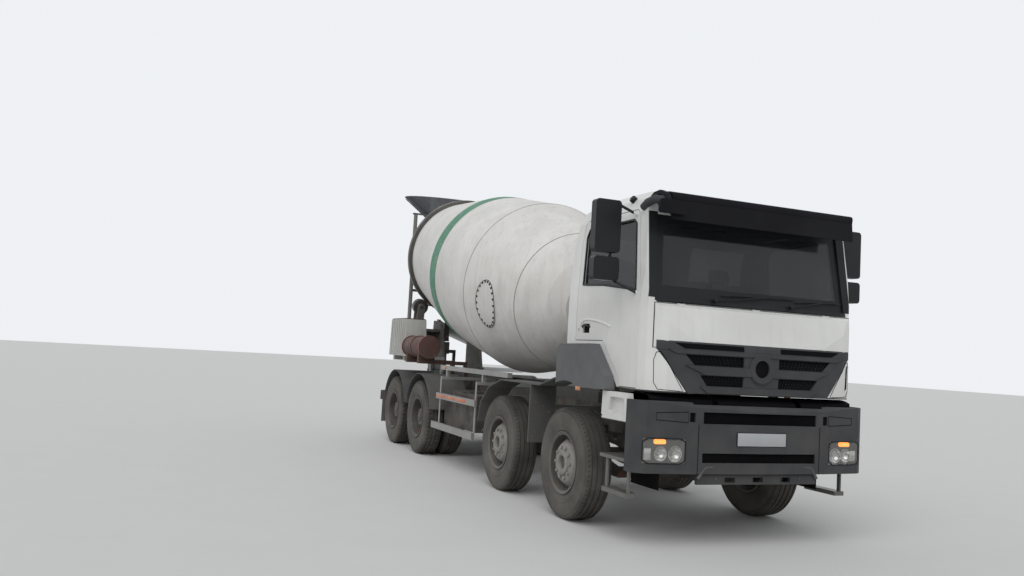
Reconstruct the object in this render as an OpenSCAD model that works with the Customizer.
// Four-axle concrete mixer truck, millimetres.
// X is across the vehicle, plus to its left. Y runs back. Z is up from the ground.

/* [Layout] */
// Half the overall width over the tyres
half_w = 1245; // [1225:5:1275]
// Front axle to second axle
axle_2_y = 1700; // [1650:10:1800]
// Front axle to third axle
axle_3_y = 5000; // [4900:10:5300]
// Third axle to fourth axle
bogie = 1350; // [1320:10:1400]
// Front bumper's face ahead of the front axle
front_y = 1458; // [1440:1:1470]
// Rear end of the truck behind the front axle
rear_y = 8050; // [8000:10:8150]

/* [Tyres and wheels] */
// Tyre radius
tyre_r = 540; // [520:1:550]
// Front tyre width
front_tyre_w = 300; // [280:5:315]
// Rear tyre width
rear_tyre_w = 280; // [260:5:285]
// Distance between the middles of twin tyres
twin_pitch = 340; // [330:5:350]
// Rim bead radius
bead_r = 290; // [285:1:300]
// Steering pivot's distance from the middle
kingpin_x = 900; // [880:5:920]

/* [Frame] */
// Half width over the frame rails
rail_x = 382; // [370:1:400]
// Rail underside height
rail_z = 800; // [780:5:820]
// Rail height
rail_h = 280; // [260:5:280]
// Rail web thickness
rail_t = 10; // [8:1:12]
// Rail flange width
rail_flange = 80; // [70:1:90]
// Rail front end ahead of the front axle
rail_front = 1250; // [1230:5:1255]
// Rail rear end
rail_rear = 7380; // [7300:10:7400]
// Mixer subframe height
sub_h = 120; // [100:5:130]

/* [Drum] */
// Drum axis height at the front knuckle
drum_z = 2267; // [2250:1:2300]
// Front knuckle's distance behind the front axle
drum_y = 2258; // [2240:1:2280]
// Axis tilt, rising to the rear
drum_tilt = 11.3; // [10.5:0.1:12]
// Front knuckle radius
drum_front_r = 868; // [850:1:880]
// Largest radius
drum_r = 1193; // [1180:1:1196]
// Drum wall thickness
drum_t = 14; // [8:1:20]
// Roller track station along the axis
track_s = 4604; // [4590:1:4620]
// Roller track outer radius
track_r = 1021; // [1015:1:1025]
// Roller track width
track_w = 90; // [80:1:100]
// Drum mouth station
mouth_s = 5240; // [5200:5:5260]
// Drum mouth radius
mouth_r = 640; // [600:5:660]
// Support roller radius
roller_r = 130; // [120:1:140]
// Support roller angle from straight down
roller_a = 38; // [34:1:42]

/* [Cab] */
// Half width of the cab
cab_x = 1135; // [1120:1:1145]
// Cab wall thickness
cab_t = 50; // [45:1:60]
// Cab tilt pivot height
tilt_z = 1000; // [990:1:1005]
// how far the wheel flares stand out from the cab's wall
flare_out = 108; // [100:1:115]
// Cab tilt pivot's distance ahead of the front axle
tilt_y = 1200; // [1190:1:1210]
// Gap round the doors
door_gap = 7; // [6:0.5:9]

/* [Chute] */
// Chute pivot's distance behind the front axle
chute_y = 7800; // [7780:5:7830]
// Chute hinge height
chute_z = 2080; // [2050:5:2100]
// Chute slope at rest
chute_slope = 20; // [15:1:25]
// Main chute length
chute_len = 1120; // [1000:10:1140]
// Trough radius
chute_r = 210; // [200:1:212]

/* [Hidden] */
$fn = 64;
// gap between pieces that rest on each other
eps = 0.3;
// radial gap of a running fit
run = 0.05;
tilt_pin_r = 25;
cab_floor_z = 1422;
gearbox_r = 230;
drum_stub_r = 60;
roller_shaft_r = 30;
mid_y = (rear_y - front_y) / 2;
axle_4_y = axle_3_y + bogie;
axles = [0, axle_2_y, axle_3_y, axle_4_y];
rail_top = rail_z + rail_h;
sub_z = rail_top + eps;
sub_top = sub_z + sub_h;
front_tyre_x = half_w - front_tyre_w / 2;
rear_tyre_x = half_w - rear_tyre_w / 2;

white = [0.86, 0.86, 0.84];
drum_grey = [0.72, 0.72, 0.69];
dark = [0.16, 0.17, 0.18];
mid = [0.3, 0.31, 0.32];
steel = [0.5, 0.5, 0.5];
black = [0.06, 0.06, 0.06];

// Helper shapes
// a box from two corners
module box(a, b) { translate(a) cube(b - a); }
// the same solids on both sides
module both() { children(); mirror([1, 0, 0]) children(); }
// a plate whose outline is drawn as [y, z], from x0 to x1
module yz(x0, x1) {
  translate([x0, 0, 0]) rotate([90, 0, 90]) linear_extrude(x1 - x0) children();
}
// a plate whose outline is drawn as [x, z], from y0 to y1
module xz(y0, y1) {
  translate([0, y1, 0]) rotate([90, 0, 0]) linear_extrude(y1 - y0) children();
}
// a plate whose outline is drawn as [x, y], from z0 to z1
module xy(z0, z1) { translate([0, 0, z0]) linear_extrude(z1 - z0) children(); }
// a round bar along X, Y or Z
module bar_x(r, x0, x1, y, z) { translate([x0, y, z]) rotate([0, 90, 0]) cylinder(r = r, h = x1 - x0); }
module bar_y(r, y0, y1, x, z) { translate([x, y0, z]) rotate([-90, 0, 0]) cylinder(r = r, h = y1 - y0); }
module bar_z(r, z0, z1, x, y) { translate([x, y, z0]) cylinder(r = r, h = z1 - z0); }
// a round bar between two points
module rod(a, b, r) {
  d = b - a;
  translate(a) rotate([0, acos(d[2] / norm(d)), atan2(d[1], d[0])]) cylinder(r = r, h = norm(d), $fn = 24);
}
// a bent strip of thickness t along the points p
function unit(v) = v / norm(v);
function side(p, i) = let (a = i > 0 ? unit(p[i] - p[i - 1]) : unit(p[1] - p[0]),
  b = i < len(p) - 1 ? unit(p[i + 1] - p[i]) : a, m = unit(a + b),
  k = 1 / max(0.4, m * a)) [-m[1] * k, m[0] * k];
module strip(p, t) {
  polygon(concat([for (i = [0:len(p) - 1]) p[i] + side(p, i) * t / 2],
    [for (i = [len(p) - 1:-1:0]) p[i] - side(p, i) * t / 2]));
}
// along the drum's axis, with local Z pointing up the axis
module on_axis(s = 0) {
  translate([0, drum_y + s * cos(drum_tilt), drum_z + s * sin(drum_tilt)])
    rotate([-(90 - drum_tilt), 0, 0]) children();
}

// Frame
cross_y = [1400, 2450, 3900, 5675, 7000];
module frame_rails() {
  color(mid) union() {
    both() difference() {
      box([rail_x - rail_flange, -rail_front, rail_z], [rail_x, rail_rear, rail_top]);
      box([rail_x - rail_flange - 1, -rail_front - 1, rail_z + rail_t],
        [rail_x - rail_t, rail_rear + 1, rail_top - rail_t]);
    }
    for (y = cross_y)
      box([-rail_x + rail_t / 2, y - 60, rail_z + 110], [rail_x - rail_t / 2, y + 60, rail_top - 60]);
    difference() {
      box([-rail_x, -rail_front - 60, rail_z - 40], [rail_x, -rail_front, rail_top]);
      translate([0, -rail_front - 30, 900]) bar_z(26, -200, 300, 0, 0);
    }
    box([-rail_x, rail_rear, rail_z], [rail_x, rail_rear + 20, rail_top]);
    both() yz(rail_x, rail_x + 40) polygon([[-tilt_y - 48, 900], [-tilt_y + 130, 900],
      [-tilt_y + 48, tilt_z + 40], [-tilt_y - 48, tilt_z + 40]]);
    both() bar_x(tilt_pin_r, rail_x + 30, rail_x + 110, -tilt_y, tilt_z);
    // bridge that the rear of the cab rests on
    both() box([rail_x - 70, 130, rail_top - 5], [rail_x, 200, cab_floor_z - eps]);
    box([-rail_x + 5, 140, cab_floor_z - 90], [rail_x - 5, 190, cab_floor_z - 30]);
  }
}

post_top = 3960;
// where the drum's track crosses its axis
track_y = drum_y + track_s * cos(drum_tilt);
module mixer_subframe() {
  color(drum_grey) union() {
    both() box([rail_x - 90, 900, sub_z], [rail_x, rail_rear - 20, sub_top]);
    for (y = [960, 2300, 3600, 4900, 6100, 7300])
      box([-rail_x + 80, y - 40, sub_z + 10], [rail_x - 80, y + 40, sub_top - 10]);
    // front stand under the drum drive
    both() yz(rail_x - 85, rail_x - 55) polygon([[1010, sub_top - 30], [2050, sub_top - 30],
      [1660, 1960], [1300, 1890]]);
    box([-rail_x + 80, 1330, 1560], [rail_x - 80, 1630, 1600]);
    on_axis(-760) difference() {
      translate([-310, 200, -150]) cube([620, 60, 300]);
      cylinder(r = gearbox_r + eps, h = 800, center = true);
    }
    // rear stand that carries the rollers
    both() yz(rail_x - 60, rail_x - 20) polygon([[track_y - 273, sub_top - 30],
      [track_y + 557, sub_top - 30], [track_y + 427, 2060], [track_y - 13, 1980]]);
    both() box([rail_x - 30, track_y + 27, 1850], [765, track_y + 377, 1900]);
    both() box([rail_x - 30, track_y + 127, 1600], [rail_x + 10, track_y + 267, 1860]);
    both() for (s = [-roller_w / 2 - 55, roller_w / 2 + 15]) roller_bearing(s);
    both() xz(track_y + 187, track_y + 207)
      polygon([[rail_x - 30, 1500], [750, 1860], [rail_x - 30, 1860]]);
    // tall posts that carry the charging hopper
    both() box([rail_x - 60, 7260, sub_top - 10], [rail_x, 7330, 1900]);
    both() box([rail_x - 60, 7260, 1840], [rail_x, 7520, 1900]);
    both() box([rail_x - 60, 7440, 1840], [780, 7520, 1900]);
    both() bar_z(34, 1860, post_top, 740, 7480);
    both() bar_x(24, 308.3, 740, 7520, 2590);
    // arm that carries the chute's turret
    both() box([60, 7300, 1500], [110, 7700, 1560]);
    box([-110, 7280, 1500], [110, 7320, 1560]);
    both() box([60, 7280, sub_top - 10], [110, 7320, 1510]);
    box([-110, 7660, 1480], [110, 7720, 1700]);
    difference() {
      bar_z(95, 1480, 1700, 0, chute_y);
      bar_z(60.05, 1400, 1800, 0, chute_y);
    }
  }
}

// an upright plate with the bore for a roller's shaft, at station s from the track
module roller_bearing(s) {
  low = (roller_z + s * sin(drum_tilt) - 1872) / cos(drum_tilt);
  on_axis(track_s + s) translate([roller_d * sin(roller_a), roller_d * cos(roller_a), 0]) difference() {
    union() {
      cylinder(r = 62, h = 40);
      translate([-62, 0, 0]) cube([124, low, 40]);
    }
    translate([0, 0, -1]) cylinder(r = roller_shaft_r + run, h = 42);
  }
}

module drum_gearbox() {
  color(mid) union() {
    on_axis(-980) cylinder(r = 165, h = 120);
    on_axis(-870) cylinder(r = gearbox_r, h = 260);
    on_axis(-620) difference() {
      cylinder(r = 190, h = 145);
      translate([0, 0, 50]) cylinder(r = drum_stub_r + run, h = 100);
    }
    translate([0, 1180, 2060]) box([-90, -60, -90], [90, 150, 90]);
  }
}

// [inner x, y] of the mounts between engine or gearbox and rail
engine_mounts = [[270, -320], [190, 1040]];
module engine_block() {
  color(dark) union() {
    box([-280, -760, 640], [280, 620, 1300]);
    box([-200, 600, 700], [200, 1250, 1000]);
    box([-330, -1000, 1100], [330, -740, 1290]);
    both() for (m = engine_mounts) box([m[0], m[1], 880], [rail_x - rail_t - eps, m[1] + 120, 950]);
  }
}

// Axles and springs
module front_axle_beams() {
  color(dark) for (y = [0, axle_2_y]) union() {
    xz(y - 50, y + 50) polygon([[-870, 610], [-870, 470], [-760, 470], [-620, 400], [620, 400],
      [760, 470], [870, 470], [870, 610], [780, 610], [600, 500], [-600, 500], [-780, 610]]);
    both() difference() {
      bar_z(58, 470, 610, kingpin_x, y);
      bar_z(25.05, 400, 700, kingpin_x, y);
    }
  }
}

nose = 420;
// [radius, half length] of a rear axle's tube and of its hub ends
rear_tube = [[105, rear_tyre_x - twin_pitch - 165], [60, rear_tyre_x - 155]];
module rear_axles() {
  color(dark) for (y = [axle_3_y, axle_4_y]) union() {
    for (b = rear_tube) bar_x(b[0], -b[1], b[1], y, tyre_r);
    turned(y, [[-200, 0], [-200, 100], [-150, 170], [-60, 215], [60, 215], [150, 170], [200, 100],
      [200, 0]]);
    bar_y(80, y - nose, y, 0, tyre_r + 60);
    if (y == axle_3_y) bar_y(70, y, y + 225 - eps, 0, tyre_r + 60);
  }
  // the slope of the long shaft tips its ends by about 4 mm
  color(steel) rod([0, 1250 + 4, 850], [0, axle_3_y - nose - 4, tyre_r + 90], 55);
  color(steel) rod([0, axle_3_y + 225, tyre_r + 60], [0, axle_4_y - nose - eps, tyre_r + 60], 50);
}

// [y, z] of a front spring's eye line and pack
module leaf_springs() {
  color(mid) for (y = [0, axle_2_y]) both() union() {
    for (i = [0:3])
      yz(390, 470) strip([for (k = [-6:6]) [y + k * (118 - i * 22), 520 + i * 16
        + 100 * pow(k * (118 - i * 22) / 708, 2)]], 15.5);
    box([390, y - 60, 500.3], [470, y + 60, 516]);
    for (s = [-1, 1])
      yz(rail_x + eps, 470) polygon([[y + s * 690, 600], [y + s * 726, 600], [y + s * 760, 860],
        [y + s * 640, 860]]);
  }
  color(mid) both() union() {
    for (i = [0:4])
      yz(rail_x + 30, rail_x + 130) strip([for (k = [-6:6]) [axle_3_y + bogie / 2
        + k * (112 - i * 16), 760 + i * 18 - 90 * pow(k * (112 - i * 16) / 672, 2)]], 17.5);
    box([rail_x + eps, axle_3_y + bogie / 2 - 110, 700], [rail_x + 130, axle_3_y + bogie / 2 + 110, 765]);
    yz(rail_x + eps, rail_x + 30) polygon([[axle_3_y + 520, 700], [axle_3_y + 830, 700],
      [axle_3_y + 780, 960], [axle_3_y + 570, 960]]);
    for (y = [axle_3_y, axle_4_y])
      box([rail_x + 35, y - 50, tyre_r + 105.3], [rail_x + 125, y + 50, 670]);
  }
}

// Wheels
// [x from the tyre's middle, radius] of half a tyre section
function tyre_section(w) = [[-w / 2 + 34, bead_r + eps], [-w / 2, bead_r + 90], [-w / 2 + 6, tyre_r - 60],
  [-w / 2 + 26, tyre_r - 14], [-w / 2 + 50, tyre_r], [w / 2 - 50, tyre_r], [w / 2 - 26, tyre_r - 14],
  [w / 2 - 6, tyre_r - 60], [w / 2, bead_r + 90], [w / 2 - 34, bead_r + eps]];
module tyre(x, y, w) {
  color(black) translate([x, y, tyre_r]) rotate([0, 90, 0]) rotate_extrude($fn = 40)
    polygon([for (p = tyre_section(w)) [p[1], p[0]]]);
}
// a turned piece about the axle from [x, radius] pairs
module turned(y, pts) {
  translate([0, y, tyre_r]) rotate([0, 90, 0]) rotate_extrude($fn = 64) polygon([for (p = pts) [p[1], p[0]]]);
}
module front_rim(y) {
  c = front_tyre_x;
  color(steel) difference() {
    turned(y, [[c - 140, 276], [c - 140, 304], [c - 126, 304], [c - 124, 290], [c + 124, 290],
      [c + 126, 304], [c + 140, 304], [c + 140, 290], [c + 126, 268], [c + 108, 252], [c + 118, 215],
      [c + 122, 172], [c + 122, 125], [c + 146, 120], [c + 148, 70], [c + 140, 60], [c + 60, 60],
      [c + 60, 50.05], [c - 60, 50.05], [c - 60, 206], [c + 90, 206], [c + 100, 225], [c + 92, 250],
      [c + 70, 262], [c - 110, 264]]);
    for (a = [0:36:324]) translate([c + 100, y, tyre_r]) rotate([a, 0, 0]) translate([0, 0, 237])
      rotate([0, 90, 0]) cylinder(r = 17, h = 60, center = true, $fn = 20);
  }
}
module rear_rim(y) {
  o = rear_tyre_x;
  i = rear_tyre_x - twin_pitch;
  m = (o + i) / 2;
  color(steel) difference() {
    turned(y, [[i - 130, 274], [i - 130, 304], [i - 118, 304], [i - 116, 290], [i + 120, 290],
      [i + 122, 300], [i + 132, 300],
      [m - 26, 286], [m + 26, 286], [o - 132, 300], [o - 122, 300], [o - 120, 290], [o + 120, 290],
      [o + 122, 304], [o + 134, 304], [o + 134, 290], [o + 120, 266], [m + 40, 258], [m + 26, 235],
      [m + 26, 165], [o - 20, 150], [o + 40, 140], [o + 70, 120], [o + 74, 0], [m + 30, 0],
      [m + 30, 60.05], [i - 60, 60.05], [i - 60, 206], [m - 22, 206], [m - 22, 250], [m - 40, 260],
      [i - 110, 262]]);
    for (a = [18:36:342]) translate([m, y, tyre_r]) rotate([a, 0, 0]) translate([0, 0, 228])
      rotate([0, 90, 0]) cylinder(r = 18, h = 120, center = true, $fn = 20);
  }
}
module knuckle(y) {
  color(dark) union() {
    for (z = [[412, 462], [618, 668]]) bar_z(58, z[0], z[1], kingpin_x, y);
    bar_z(25, 420, 660, kingpin_x, y);
    for (z = [[412, 462], [618, 668]]) box([kingpin_x, y - 50, z[0]], [kingpin_x + 100, y + 50, z[1]]);
    box([kingpin_x + 66, y - 50, 412], [kingpin_x + 100, y + 50, 668]);
    bar_x(50, kingpin_x + 90, front_tyre_x + 55, y, tyre_r);
    yz_arm(y);
  }
}
module yz_arm(y) {
  xy(422, 452) polygon([[kingpin_x - 30, y], [kingpin_x + 30, y], [kingpin_x - 10, y + 150],
    [kingpin_x - 60, y + 150]]);
}
module right() { mirror([1, 0, 0]) children(); }
module knuckle_1_left() { knuckle(axles[0]); }
module knuckle_1_right() { right() knuckle(axles[0]); }
module knuckle_2_left() { knuckle(axles[1]); }
module knuckle_2_right() { right() knuckle(axles[1]); }
module tyre_1_left() { tyre(front_tyre_x, axles[0], front_tyre_w); }
module tyre_1_right() { right() tyre(front_tyre_x, axles[0], front_tyre_w); }
module tyre_2_left() { tyre(front_tyre_x, axles[1], front_tyre_w); }
module tyre_2_right() { right() tyre(front_tyre_x, axles[1], front_tyre_w); }
module twin(y) {
  tyre(rear_tyre_x, y, rear_tyre_w);
  tyre(rear_tyre_x - twin_pitch, y, rear_tyre_w);
}
module tyres_3_left() { twin(axles[2]); }
module tyres_3_right() { right() twin(axles[2]); }
module tyres_4_left() { twin(axles[3]); }
module tyres_4_right() { right() twin(axles[3]); }
module rim_1_left() { front_rim(axles[0]); }
module rim_1_right() { right() front_rim(axles[0]); }
module rim_2_left() { front_rim(axles[1]); }
module rim_2_right() { right() front_rim(axles[1]); }
module rims_3_left() { rear_rim(axles[2]); }
module rims_3_right() { right() rear_rim(axles[2]); }
module rims_4_left() { rear_rim(axles[3]); }
module rims_4_right() { right() rear_rim(axles[3]); }

// Front end on the frame
bump_plan = [[-1245, -1215], [-1245, -1290], [-1215, -1352], [-1150, -1392], [-720, -1438], [0, -1458],
  [720, -1438], [1150, -1392], [1215, -1352], [1245, -1290], [1245, -1215]];
// the bumper's top edge keeps inside this radius about the cab's tilt pivot
swing_r = 315;
bump_side = concat([[-1205, 600], [-1500, 600], [-1500, 1060]],
  [for (z = [1110, 1150, 1184, 1199, 1226, 1249])
    [-tilt_y - sqrt(swing_r * swing_r - pow(z - tilt_z, 2)), z]],
  [[-1205, 1249]]);
module bumper() {
  color(mid) difference() {
    intersection() {
      yz(-1300, 1300) polygon(bump_side);
      union() {
        xy(640, 1228) difference() {
          polygon(bump_plan);
          offset(delta = -55) polygon(concat(bump_plan, [[1245, -1100], [-1245, -1100]]));
          translate([-1190, -1216]) square([2380, 300]);
        }
        xy(1220, 1262) difference() {
          polygon(bump_plan);
          offset(delta = -40) polygon(concat(bump_plan, [[1245, -1100], [-1245, -1100]]));
          translate([-700, -1500]) square([1400, 400]);
          translate([-1205, -1216]) square([2410, 300]);
        }
      }
    }
    box([-610, -1500, 1068], [610, -1420, 1168]);
    box([-610, -1500, 735], [610, -1420, 818]);
    both() box([775, -1500, 722], [1172, -1300, 938]);
    both() box([690, -1500, 1080], [745, -1420, 1160]);
  }
  color(mid) union() {
    both() rod([610, -1400, 690], [560, -1400, 570], 20);
    difference() {
      box([-640, -1420, 548], [640, -1385, 630]);
      for (x = [-300, 0, 300]) box([x - 55, -1430, 566], [x + 55, -1380, 610]);
    }
    both() box([500, -1386, 560], [560, -1215, 630]);
    both() box([rail_x - 60, -1402, 900], [rail_x - 10, -rail_front - 60.3, 1000]);
  }
}

module lamps() {
  color([0.8, 0.8, 0.75]) both() box([775 + eps, -1412, 722 + eps], [1172 - eps, -1350, 938 - eps]);
  color([0.7, 0.05, 0.05]) both() box([half_w - 385, tail_y + 40 + eps, tail_bar_z - 130],
    [half_w - 95, tail_y + 80, tail_bar_z - 30]);
}

module entry_steps() {
  color(white) both() union() {
    difference() {
      yz(1140, 1200) polygon([[-1200, 1060], [-1140, 1290], [-700, 1290], [-690, 1080], [-760, 1050]]);
      yz(1160, 1210) offset(r = 22) polygon([[-1096, 1126], [-1066, 1222], [-860, 1222], [-842, 1126]]);
    }
    box([840, -1180, 700], [1200, -700, 730]);
    box([840, -1180, 1040], [1200, -700, 1065]);
    box([840, -1180, 700], [860, -700, 1065]);
    // low step on two hangers
    box([1090, -1180, 400], [1200, -760, 440]);
    for (y = [-1180, -800]) box([1150, y, 430], [1165, y + 40, 710]);
    box([rail_x + eps, -1000, 860], [850, -940, 940]);
  }
}

module front_fenders() {
  color(dark) both() union() {
    yz(930, 1235) strip([[270, 1352], [640, 1262], [1700, 1262], [2080, 1160], [2330, 960], [2400, 720]], 14);
    yz(930, 1235) strip([[850, 1262], [850, 640]], 20);
    box([rail_x + eps, 820, 1000], [940, 880, 1050]);
    box([rail_x + eps, 2300, 1000], [940, 2360, 1050]);
    box([925, 2300, 960], [945, 2360, 1050]);
  }
}

flap_y = axle_4_y + tyre_r + 190;
module rear_fenders() {
  color(mid) both() for (y = [axle_3_y, axle_4_y]) union() {
    difference() {
      bar_x(652, 650, 1235, y, tyre_r);
      bar_x(640, 600, 1300, y, tyre_r);
      box([600, y - 700, -200], [1300, y + 700, tyre_r + 160]);
    }
    box([rail_x + eps, y - 30, 1100], [760, y + 30, 1140]);
    box([740, y - 30, 1100], [760, y + 30, 1188]);
  }
  // flaps behind the last axle
  color(dark) both() union() {
    box([rail_x + eps, flap_y, 760], [half_w - 10, flap_y + 22, 810]);
    box([half_w - 555, flap_y + 6, 280], [half_w - 15, flap_y + 14, 770]);
  }
}

module fuel_tank() {
  color(steel) union() {
    yz(640, 1180) offset(r = 60) polygon([[2860, 560], [3940, 560], [3940, 1010], [2860, 1010]]);
    bar_z(45, 1060, 1100, 1050, 3050);
    for (y = [3050, 3700]) box([rail_x + eps, y - 30, 860], [660, y + 30, 920]);
  }
}

module side_boxes() {
  color(dark) {
    union() {
      box([-1140, 2700, 540], [-640, 3350, 1000]);
      box([-660, 2950, 860], [-rail_x - eps, 3010, 920]);
    }
    union() {
      box([-1080, 3430, 520], [-560, 4150, 1010]);
      box([-580, 3760, 860], [-rail_x - eps, 3820, 920]);
    }
  }
  color(steel) union() {
    bar_y(120, 2700, 3900, -520, 660);
    for (y = [2880, 3640]) box([-530, y - 20, 700], [-rail_x - eps, y + 20, 850]);
  }
}

module side_guards() {
  color(steel) both() union() {
    box([1195, 2600, 460], [1230, 4280, 550]);
    box([1195, 2560, 880], [1230, 4120, 960]);
    for (y = [2620, 4040]) box([1190, y - 25, 460], [1196, y + 25, 1190]);
    box([1070, 1760, 1280], [1130, 4290, 1340]);
    for (y = [2620, 4040]) {
      box([1150, y - 25, 1150], [1196, y + 25, 1190]);
      box([rail_x + eps, y - 25, 1020], [420, y + 25, 1190]);
      box([rail_x + eps, y - 25, 1150], [1160, y + 25, 1190]);
      box([1080, y - 25, 1180], [1120, y + 25, 1290]);
    }
  }
}

tail_y = rail_rear + 20;
tail_bar_x = half_w - 65;
tail_bar_z = rail_z - 10;
module tail_bar() {
  color(mid) union() {
    box([-tail_bar_x, tail_y, tail_bar_z - 160], [tail_bar_x, tail_y + 40, tail_bar_z]);
    both() yz(rail_x + eps, rail_x + 14) polygon([[tail_y - 110, rail_top - 40],
      [tail_y - 1, rail_top - 40], [tail_y - 1, tail_bar_z - 5], [tail_y + 20, tail_bar_z - 5],
      [tail_y + 20, tail_bar_z - 150], [tail_y - 70, tail_bar_z - 150]]);
  }
}

// Rear body
module water_tank() {
  color(drum_grey) union() {
    yz(-1130, -780) polygon([[6180, 1420], [7230, 1420], [7180, 2030], [6280, 2030]]);
    for (y = [6330:110:7100]) box([-1145, y - 22, 1450], [-1128, y + 22, 2010]);
    box([-1080, 6420, 1340], [-rail_x - eps, 6500, 1430]);
    box([-rail_x - 40, 6420, 1100], [-rail_x - eps, 6500, 1350]);
    box([-1080, 7040, 1340], [-rail_x - eps, 7120, 1430]);
    box([-rail_x - 40, 7040, 1100], [-rail_x - eps, 7120, 1350]);
  }
}

module additive_drum() {
  color([0.3, 0.14, 0.1]) union() {
    bar_y(165, 5160, 6090, -1050, 1585);
    for (y = [5150, 5620, 6080]) bar_y(176, y, y + 22, -1050, 1585);
  }
  color(mid) union() {
    for (y = [5260, 5900]) {
      box([-1180, y, 1330], [-rail_x - eps, y + 80, 1385]);
      box([-rail_x - 40, y, 1090], [-rail_x - eps, y + 80, 1340]);
      difference() {
        box([-1180, y + 10, 1380], [-920, y + 70, 1480]);
        bar_y(165 + eps, y, y + 80, -1050, 1585);
      }
    }
  }
}

module ladder() {
  color(steel) union() {
    for (y = [6500, 6900]) rod([1120, y, 1290], [1080, y, 3570], 20);
    for (z = [1420:260:2400]) bar_y(14, 6500, 6900, 1118 - (z - 1300) * 0.0176, z);
    for (y = [6560, 6860]) box([rail_x + eps, y - 25, 1230], [1130, y + 25, 1290]);
    box([rail_x + eps, 6535, 1100], [rail_x + 30, 6885, 1290]);
    box([1060, 6470, 2560], [1240, 7340, 2590]);
    for (y = [6520, 7300]) bar_z(17, 2580, 3575, 1215, y);
    for (z = [3060, 3540]) bar_y(13, 6510, 7310, 1215, z);
    bar_x(12, 1080, 1220, 6505, 3500);
    box([1070, 7300, 2200], [1100, 7330, 2570]);
    box([785, 7300, 2180], [1100, 7330, 2215]);
  }
}

hopper_y = 7700;
hopper_z = 4300;
hopper_w = 900;
hopper_d = 350;
throat_y = 7480;
throat_z = 3700;
module funnel_cone(inset, over) {
  hull() {
    translate([0, hopper_y, 0]) xy(hopper_z - 10 + over, hopper_z + over)
      scale([hopper_w - inset, hopper_d - inset]) circle(r = 1, $fn = 32);
    translate([0, throat_y, 0]) xy(throat_z - over, throat_z + 10 - over)
      scale([250 - inset, 190 - inset]) circle(r = 1, $fn = 32);
  }
}
module hopper() {
  color(dark) {
    difference() {
      union() {
        funnel_cone(0, 0);
        rod([0, throat_y, throat_z + 40], [0, 7240, 3470], 190);
        both() box([470, 7440, post_top + eps], [790, 7520, post_top + 20]);
      }
      funnel_cone(10, 2);
      rod([0, throat_y + 14, throat_z + 53], [0, 7200, 3432], 180);
      translate([0, throat_y, throat_z + 60]) cube([330, 240, 120], center = true);
    }
    union() {
      yz(-300, 300) strip([[7440, 2540], [7520, 2540], [7760, 2350]], 8);
      both() yz(300 - eps, 308) polygon([[7440, 2536], [7520, 2536], [7760, 2346], [7960, 2346],
        [7960, 2700], [7540, 2700], [7440, 2560]]);
      box([-308, 7952, 2346], [308, 7960, 2700]);
    }
  }
}

hatch_a = 11;
// stations where the drum's cylinder starts and ends
drum_seam = [1093, 2676];
drum_out = [[-470, 0], [-470, 400], [-330, 600], [-90, 820], [0, drum_front_r], [60, drum_front_r + 30],
  [drum_seam[0], drum_r], [drum_seam[1], drum_r], [track_s - 60, 962], [track_s + 60, 950],
  [mouth_s, mouth_r]];
module drum_layer(out) {
  on_axis() rotate_extrude($fn = 96) difference() {
    offset(delta = out) polygon([[500, 60], [drum_front_r + 30, 60], [drum_r, drum_seam[0]],
      [500, drum_seam[0]]]);
    polygon([[0, 20], [drum_front_r + 20, 20], [drum_front_r + 24, 60], [drum_r - 4, drum_seam[0]],
      [0, drum_seam[0] + 200]]);
  }
}
module drum_shell() {
  color(drum_grey) union() {
    drum_wall(-600, drum_seam[1]);
    on_axis(-568) cylinder(r = drum_stub_r, h = 104);
    intersection() {
      drum_layer(12);
      drum_hatch_zone(0);
    }
  }
}
module drum_cone() { color(drum_grey) drum_wall(drum_seam[1] + eps, mouth_s + 10); }
// the drum's wall between two stations
module drum_wall(s0, s1) {
  on_axis() rotate_extrude($fn = 96) intersection() {
    difference() {
      polygon(concat([for (p = drum_out) [p[1], p[0]]], [[0, mouth_s]]));
      offset(delta = -drum_t) polygon(concat([[-200, -470]], [for (p = drum_out) [p[1], p[0]]],
        [[mouth_r - 60, mouth_s + 200], [-200, mouth_s + 200]]));
    }
    translate([0, s0]) square([drum_r + 10, s1 - s0]);
  }
}
// an oval hatch, [along the axis, round the drum]
hatch = [200, 320];
module drum_hatch_zone(k) {
  on_axis(600) rotate([0, 0, -hatch_a]) rotate([0, -90, 0])
    translate([0, 0, 800]) linear_extrude(500)
      polygon([for (a = [0:15:345]) [-(hatch[0] + k) * cos(a), (hatch[1] + k) * sin(a)]]);
}
module drum_track() {
  color(dark) on_axis(track_s) rotate_extrude($fn = 96) polygon([[956.3 + 0.1 * track_w / 2, -track_w / 2],
    [track_r, -track_w / 2], [track_r, track_w / 2], [956.3 - 0.1 * track_w / 2, track_w / 2]]);
}
roller_w = 120;
roller_d = track_r + roller_r + eps;
roller_z = drum_z + track_s * sin(drum_tilt) - roller_d * cos(roller_a) * cos(drum_tilt);
module roller() {
  color(mid) on_axis(track_s) translate([roller_d * sin(roller_a), roller_d * cos(roller_a), -roller_w / 2]) {
    cylinder(r = roller_r, h = roller_w);
    translate([0, 0, -60]) cylinder(r = roller_shaft_r, h = roller_w + 120);
  }
}
module roller_left() { roller(); }
module roller_right() { right() roller(); }

// Chute
// turret plates, main chute's ears and folding end's arms, as [inner, outer] from the middle
turret_plate = [chute_r + 20, chute_r + 38];
chute_ear = [chute_r - 6, chute_r + 14];
fold_ear = [chute_r + 5, chute_r + 17];
fold_arm = [chute_r + 22, chute_r + 34];
chute_pin_r = 14;
fold_pin_r = 12;
// fold hinge in the main chute's own frame, [along it, above its rim]
fold_at = [chute_len + 5, 10];
// where the folded end starts along the chute, so that it swings up past the tray
fold_start = 200;
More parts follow.
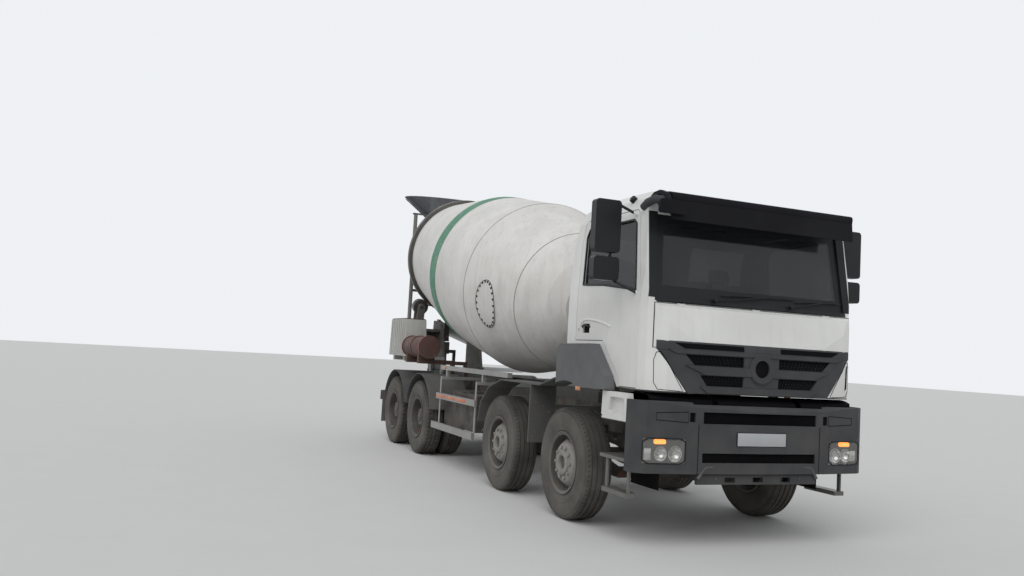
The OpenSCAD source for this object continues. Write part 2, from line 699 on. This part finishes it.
// a plate beside the chute whose outline is drawn as [x, z], on both sides
module cheek(w) {
  for (k = [0, 1]) mirror([0, k, 0]) translate([0, w[1], 0]) rotate([90, 0, 0])
    linear_extrude(w[1] - w[0]) children();
}
// a short pin across the chute on both sides
module cheek_pin(r, w, x, z) {
  for (k = [0, 1]) mirror([0, k, 0]) bar_y(r, w[0], w[1], x, z);
}
module on_chute() {
  translate([0, chute_y, chute_z]) rotate([0, chute_slope, 0]) children();
}
module chute_swivel() {
  color(mid) union() {
    bar_z(60, 1470, 1720, 0, chute_y);
    bar_z(90, 1710, 1740, 0, chute_y);
    box([-60, chute_y - turret_plate[1], 1710], [60, chute_y + turret_plate[1], 1740]);
    translate([0, chute_y, 0]) {
      cheek(turret_plate) polygon([[-60, 1712], [60, 1712], [34, chute_z + 34], [-34, chute_z + 34]]);
      cheek_pin(chute_pin_r, [chute_ear[0], turret_plate[0] + 5], 0, chute_z);
    }
  }
}
module trough(r, l) {
  rotate([0, 90, 0]) difference() {
    cylinder(r = r, h = l);
    translate([0, 0, -1]) cylinder(r = r - 8, h = l + 2);
    translate([-2 * r, -2 * r, -1]) cube([2 * r, 4 * r, l + 2]);
  }
}
module chute_main() {
  color(steel) on_chute() {
    difference() {
      union() {
        translate([90, 0, 0]) trough(chute_r, chute_len - 90);
        cheek(chute_ear) union() {
          circle(r = 32);
          polygon([[0, -32], [0, 32], [100, 12], [340, 4], [340, -40], [110, -60]]);
        }
        cheek([chute_r - 6, fold_ear[1]]) polygon([[950, -2], [950, -60], [1030, -60], [1040, -12]]);
        cheek(fold_ear) union() {
          translate(fold_at) circle(r = 28);
          polygon([[950, -10], [fold_at[0], fold_at[1] + 24], [fold_at[0] + 16, fold_at[1] - 20],
            [1030, -60], [950, -60]]);
        }
        cheek_pin(fold_pin_r, [fold_ear[0] + 4, fold_arm[1] + 4], fold_at[0], fold_at[1]);
      }
      cheek_pin(chute_pin_r + run, [chute_r - 20, chute_r + 30], 0, 0);
    }
  }
}
module chute_extension() {
  color(steel) on_chute() difference() {
    union() {
      translate([fold_start, 0, 20]) mirror([0, 0, 1]) trough(chute_r, chute_len - 10 - fold_start);
      cheek([chute_r - 6, fold_arm[1]]) polygon([[840, 24], [840, 80], [930, 76], [940, 30]]);
      cheek(fold_arm) union() {
        translate(fold_at) circle(r = 26);
        polygon([[850, 26], [850, 76], [920, 76], [fold_at[0], fold_at[1] + 25],
          [fold_at[0], fold_at[1] - 25]]);
      }
    }
    cheek_pin(fold_pin_r + run, [fold_arm[0] - 4, fold_arm[1] + 4], fold_at[0], fold_at[1]);
  }
}

// Cab
cab_side = [[-1400, 1322], [-1418, 1500], [-1418, 1700], [-1350, 2060], [-1285, 2110], [-1165, 2960],
  [-1120, 3050], [-1040, 3100], [-700, 3140], [-200, 3130], [-60, 3090], [40, 3020], [130, 2870], [190, 2700],
  [218, 2460], [222, 1900], [222, 1422], [-760, 1422], [-840, 1322]];
cab_plan = [[-1135, 300], [-1135, -1180], [-1112, -1270], [-1060, -1335], [-960, -1376], [-720, -1402],
  [0, -1420], [720, -1402], [960, -1376], [1060, -1335], [1112, -1270], [1135, -1180], [1135, 300]];
cab_front = [[-1135, 1300], [-1135, 2120], [-1100, 2900], [-1070, 3020], [-1000, 3095], [-860, 3150],
  [860, 3150], [1000, 3095], [1070, 3020], [1100, 2900], [1135, 2120], [1135, 1300]];
door_line = [[-1170, 1342], [-870, 1342], [-835, 1440], [-525, 1748], [30, 1748], [30, 2700],
  [-10, 2880], [-60, 2925], [-1000, 2925], [-1050, 2890], [-1170, 2120]];
window_line = [[-1090, 2200], [-480, 2270], [-60, 2290], [-60, 2760], [-110, 2840], [-960, 2840],
  [-1010, 2800]];
screen_line = [[-1040, 2135], [1040, 2135], [1000, 2880], [-1000, 2880]];
flap_gap = 7;
emblem_z = 1560;
emblem_r = 138;
panel_line = [[-1070, 1704], [1070, 1704], [1070, 2084], [-1070, 2084]];
grille_line = [[-740, 1300], [740, 1300], [1050, 1704], [-1050, 1704]];
module cab_solid(t) {
  intersection() {
    yz(-1200, 1200) offset(delta = -t) polygon(cab_side);
    xy(1200, 3300) offset(delta = -t) polygon(cab_plan);
    xz(-1500, 300 - t) offset(delta = -t) polygon(cab_front);
  }
}
module cab_skin(t0, t1) {
  difference() {
    cab_solid(t0);
    cab_solid(t1);
  }
}
// door pivot line, [x, y], and its pins
door_pivot = [1125, -1160];
door_pin_r = 6;
// flap hinge line in the seam above the panel, [y, z]
flap_pivot = [-1308.7, 2087.5];
flap_pin_r = 2;
flap_knuckles = [-800, 0, 800];
// cab tilt arm beside the rail, drawn as [y, z] from the tilt pivot
tilt_arm = [[-45, 0], [-30, 150], [15, 195], [80, 250], [140, 330], [240, 330], [80, 60], [45, 0]];
module cab_shell() {
  color(white) union() {
    cab_body();
    both() bar_z(door_pin_r, 1326, 1362, door_pivot[0], door_pivot[1]);
    both() bar_z(door_pin_r, 2152, 2300, door_pivot[0], door_pivot[1]);
    both() difference() {
      translate([0, -tilt_y, tilt_z]) union() {
        bar_x(48, rail_x + 50, rail_x + 90, 0, 0);
        yz(rail_x + 50, rail_x + 90) polygon(tilt_arm);
      }
      bar_x(tilt_pin_r + run, rail_x + 40, rail_x + 100, -tilt_y, tilt_z);
    }
    for (x = flap_knuckles) {
      bar_x(flap_pin_r, x - 40, x + 40, flap_pivot[0], flap_pivot[1]);
      for (k = [-40, 22]) translate([x + k, flap_pivot[0], flap_pivot[1]])
        box([0, -2.2, 0], [18, 2.2, 6]);
    }
  }
}
module cab_body() {
  difference() {
    cab_skin(0, cab_t);
    both() door_zone(door_gap);
    // room for the door's corner beside its upper pivot
    both() bar_z(16, 2130, 2262, door_pivot[0], door_pivot[1]);
    // room for the panel's upper edge behind its hinge
    intersection() {
      bar_x(23, -1077, 1077, flap_pivot[0], flap_pivot[1]);
      box([-1077, -1400, 2000], [1077, -1200, 2091]);
    }
    xz(-1500, -1000) polygon(screen_line);
    both() box([240, 100, 2450], [950, 400, 2850]);
    intersection() {
      cab_skin(-1, 22);
      union() {
        xz(-1600, -1200) offset(delta = flap_gap) polygon(panel_line);
        xz(-1600, -1320) offset(delta = flap_gap) polygon(grille_line);
      }
    }
  }
}
module cab_flares() {
  color(mid) both() difference() {
    yz(cab_x + eps, cab_x + flare_out) polygon([[-800, 1322], [-770, 1424], [-480, 1712], [160, 1702],
      [222, 1650], [222, 1300], [-800, 1300]]);
    bar_x(800, 1000, 1300, 0, tyre_r);
  }
}
// the cab's face above the windscreen at height z
function brow_y(z) = -1165 + (z - 2960) / 2 - eps;
visor_x = 1000;
module sun_visor() {
  color(black) union() {
    yz(-visor_x, visor_x) polygon([[brow_y(3044), 3044], [-1400, 2992], [-1414, 2806], [-1400, 2806],
      [-1386, 2976], [brow_y(3022), 3022]]);
    both() yz(visor_x - 12, visor_x) polygon([[brow_y(3030), 3030], [-1400, 2985], [-1414, 2806],
      [-1388, 2840], [-1360, 2900], [-1270, 2932], [brow_y(2975), 2975]]);
  }
  // mirror that looks down on the kerb, on a bent arm beside the visor
  color(black) union() {
    yz(-visor_x - 62, -visor_x - 22) polygon([[brow_y(3022), 3022], [-1200, 3062], [-1300, 3070],
      [-1395, 3035], [-1448, 2950], [-1424, 2935], [-1375, 3005], [-1290, 3036], [-1200, 3024],
      [brow_y(2975), 2975]]);
    xz(-1452, -1420) offset(r = 24)
      polygon([[-1120, 2872], [-900, 2872], [-900, 2944], [-1120, 2944]]);
  }
}
module windscreen() {
  color([0.2, 0.25, 0.28]) {
    intersection() {
      cab_skin(18, 26);
      xz(-1500, -1000) offset(delta = -eps) polygon(screen_line);
    }
    intersection() {
      cab_skin(18, 26);
      both() box([240 + eps, 50, 2450 + eps], [950 - eps, 400, 2850 - eps]);
    }
  }
}
wheel_c = [560, -735, 2010];
module dashboard() {
  color(dark) {
    union() {
      intersection() {
        yz(-1060, 1060) polygon([[-1400, 1640], [-1000, 1640], [-880, 1800], [-900, 1960], [-960, 2050],
          [-1180, 2070], [-1400, 2070]]);
        cab_solid(cab_t + eps);
      }
      yz(270, 860) polygon([[-1000, 1700], [-860, 1780], [-850, 2060], [-960, 2120], [-1100, 2070]]);
      rod([wheel_c[0], -950, 1830], wheel_c, 38);
      translate(wheel_c) rotate([33, 0, 0]) {
        rotate_extrude($fn = 48) translate([225, 0]) circle(r = 15, $fn = 16);
        cylinder(r = 60, h = 40, center = true);
        for (a = [20, 160, 270]) rotate([0, 0, a]) translate([40, -14, -8]) cube([176, 28, 16]);
      }
      box([-40, -1000, 1472.3], [40, -860, 1760]);
      box([-300, -760, 1472.3], [200, -380, 1560]);
    }
  }
}
module seats() {
  color(dark) both() {
    union() {
      box([370, -420, 1472.3], [810, -40, 1760]);
      box([340, -520, 1760], [840, 0, 1900]);
      yz(345, 835) polygon([[-70, 1890], [40, 1880], [150, 2420], [80, 2440]]);
      yz(440, 740) polygon([[70, 2450], [140, 2440], [165, 2620], [105, 2640]]);
      for (x = [500, 660]) yz(x, x + 20) polygon([[90, 2400], [130, 2400], [140, 2480], [105, 2480]]);
    }
  }
}
module front_panel() {
  color(white) difference() {
    union() {
      intersection() {
        cab_skin(0, 16);
        xz(-1600, -1260) polygon(panel_line);
      }
      for (x = flap_knuckles) {
        bar_x(3.2, x - 20, x + 20, flap_pivot[0], flap_pivot[1]);
        box([x - 20, flap_pivot[0] - 2.2, 2080], [x + 20, flap_pivot[0] + 2.2, flap_pivot[1]]);
      }
    }
    for (x = flap_knuckles) bar_x(flap_pin_r + run, x - 21, x + 21, flap_pivot[0], flap_pivot[1]);
  }
}
// slots of the grille: [z low, z high, inner x, outer x at the top, chamfer]
grille_slots = [[1392, 1482, 190, 640, 70], [1566, 1656, 190, 790, 90]];
module grille() {
  color(mid) difference() {
    union() {
      intersection() {
        cab_skin(0, 16);
        translate([0, 0, -0.3]) xz(-1600, -1328) polygon(grille_line);
      }
      intersection() {
        cab_skin(-12, 4);
        xz(-1600, -1200) union() {
          for (k = [-1, 1]) scale([k, 1]) {
            polygon([[0, 1488], [600, 1488], [700, 1530], [790, 1560], [120, 1560], [0, 1560]]);
            polygon([[0, 1330], [560, 1330], [640, 1386], [0, 1386]]);
            polygon([[0, 1662], [880, 1662], [960, 1696], [0, 1696]]);
          }
        }
      }
      translate([0, -1424, emblem_z]) rotate([-90, 0, 0]) cylinder(r = emblem_r, h = 20);
    }
    for (g = grille_slots) both() xz(-1600, -1300)
      polygon([[g[2], g[0]], [g[3] - g[4], g[0]], [g[3], g[1]], [g[2], g[1]]]);
    translate([0, -1436, emblem_z]) rotate([-90, 0, 0]) cylinder(r = emblem_r - 22, h = 24);
  }
  color(steel) translate([0, -1430, emblem_z]) rotate([-90, 0, 0]) difference() {
    cylinder(r = emblem_r - 22.3, h = 14);
    cylinder(r = emblem_r - 60, h = 40, center = true);
  }
}
module door_zone(k) {
  yz(1080 - k, 1300) offset(delta = k) polygon(door_line);
  intersection() {
    yz(1035 - k, 1300) offset(delta = k) polygon(door_line);
    box([900, -1300, 2200 - k], [1300, 300, 3000]);
  }
}
module door() {
  color(white) difference() {
    intersection() {
      cab_skin(0, cab_t);
      door_zone(0);
    }
    yz(900, 1300) polygon(window_line);
    box([cab_x - 22, -250, 1815], [cab_x + 20, -110, 1905]);
    difference() {
      box([door_pivot[0], door_pivot[1] - 20, 1300], [cab_x + 10, door_pivot[1], 2250]);
      bar_z(cab_x - door_pivot[0], 1290, 2260, door_pivot[0], door_pivot[1]);
    }
    bar_z(door_pin_r + run, 1330, 1366, door_pivot[0], door_pivot[1]);
    bar_z(door_pin_r + run, 2148, 2300, door_pivot[0], door_pivot[1]);
  }
}
module door_left() { door(); mirror_arm(); }
module door_right() { right() { door(); mirror_arm(); } }
// [low z, high z] of a side's two mirror heads
mirror_z = [[2520, 2990], [2270, 2480]];
module mirror_arm() {
  color(black) union() {
    rod([1090, -1010, 2872], [1330, -950, 2985], 13);
    rod([1110, -1120, 2158], [1290, -950, 2275], 13);
    for (z = mirror_z) xz(-990, -900) offset(r = 34)
      polygon([[1290, z[0] + 34], [1477, z[0] + 34], [1477, z[1] - 34], [1290, z[1] - 34]]);
    bar_z(13, 2460, 2540, 1330, -945);
  }
}
module glass() {
  color([0.2, 0.25, 0.28]) intersection() {
    cab_skin(20, 26);
    yz(900, 1300) offset(delta = -eps) polygon(window_line);
  }
}
module glass_left() { glass(); }
module glass_right() { right() glass(); }

// The origin is under the middle of the whole truck
translate([0, -mid_y, 0]) {
  frame_rails();
  mixer_subframe();
  drum_gearbox();
  engine_block();
  front_axle_beams();
  rear_axles();
  leaf_springs();
  bumper();
  lamps();
  entry_steps();
  front_fenders();
  rear_fenders();
  fuel_tank();
  side_boxes();
  side_guards();
  tail_bar();
  water_tank();
  additive_drum();
  ladder();
  hopper();
  drum_shell();
  drum_cone();
  drum_track();
  roller_left();
  roller_right();
  chute_swivel();
  chute_main();
  chute_extension();
  cab_shell();
  cab_flares();
  sun_visor();
  windscreen();
  dashboard();
  seats();
  front_panel();
  grille();
  door_left();
  door_right();
  glass_left();
  glass_right();
  knuckle_1_left();
  knuckle_1_right();
  knuckle_2_left();
  knuckle_2_right();
  tyre_1_left();
  tyre_1_right();
  tyre_2_left();
  tyre_2_right();
  tyres_3_left();
  tyres_3_right();
  tyres_4_left();
  tyres_4_right();
  rim_1_left();
  rim_1_right();
  rim_2_left();
  rim_2_right();
  rims_3_left();
  rims_3_right();
  rims_4_left();
  rims_4_right();
}
